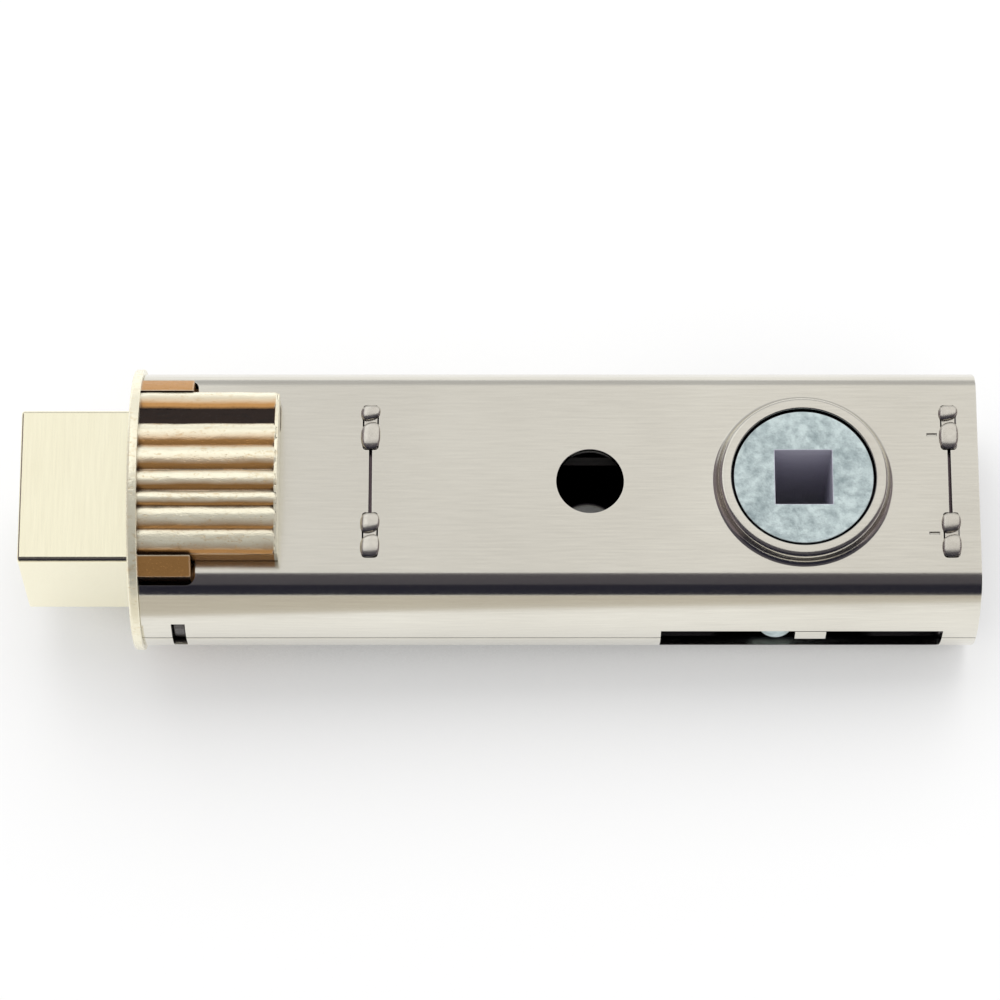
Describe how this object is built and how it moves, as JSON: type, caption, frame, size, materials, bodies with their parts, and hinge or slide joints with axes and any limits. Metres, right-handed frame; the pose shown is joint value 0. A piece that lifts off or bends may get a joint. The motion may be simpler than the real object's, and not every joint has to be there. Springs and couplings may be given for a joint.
{
  "type": "tubular latch",
  "caption": "Round tubular door bolt with a knurled drive-in collar: turning its square-holed hub slides a square-ended brass bolt in and out.",
  "frame": {"origin": "on the case's axis, at the outer face of the collar's flange, which lies at the door's edge", "axes": "+X along the case from the flange to the tail, so the bolt points to -X; +Z along the spindle axis, square to the flats"},
  "size_m": [0.0857, 0.0254, 0.0254],
  "materials": {
    "case_nickel": "satin nickel plate, brushed along the case",
    "collar_brass": "bright brass plate on a die casting",
    "bolt_brass": "satin brass, brushed across",
    "inner_steel": "plain steel",
    "plate_steel": "nickel-plated steel",
    "hub_zinc": "raw zinc casting, pale blue-grey"
  },
  "bodies": {
    "case": {"front_shell": "case_nickel", "back_shell": "case_nickel", "front_collar": "collar_brass", "front_guide_plate": "plate_steel", "rear_end_plate": "plate_steel", "detent_spring": "inner_steel"},
    "bolt": {"bolt_head": "bolt_brass", "tail_bar": "inner_steel", "tail_rivets": "inner_steel"},
    "hub": {"hub": "hub_zinc"}
  },
  "joints": [
    {"name": "hub_turn", "type": "hinge", "parent": "case", "child": "hub", "pos_m": [0.06, 0, 0], "axis": [0, 0, 1], "range_deg": [-90, 0]},
    {"name": "bolt_slide", "type": "slide", "parent": "case", "child": "bolt", "axis": [1, 0, 0], "range_m": [0, 0.0103], "deforming": ["detent_spring"]}
  ],
  "couplings": [
    {"joint": "hub_turn", "follows": "bolt_slide", "rad_per_m": -152.5}
  ]
}
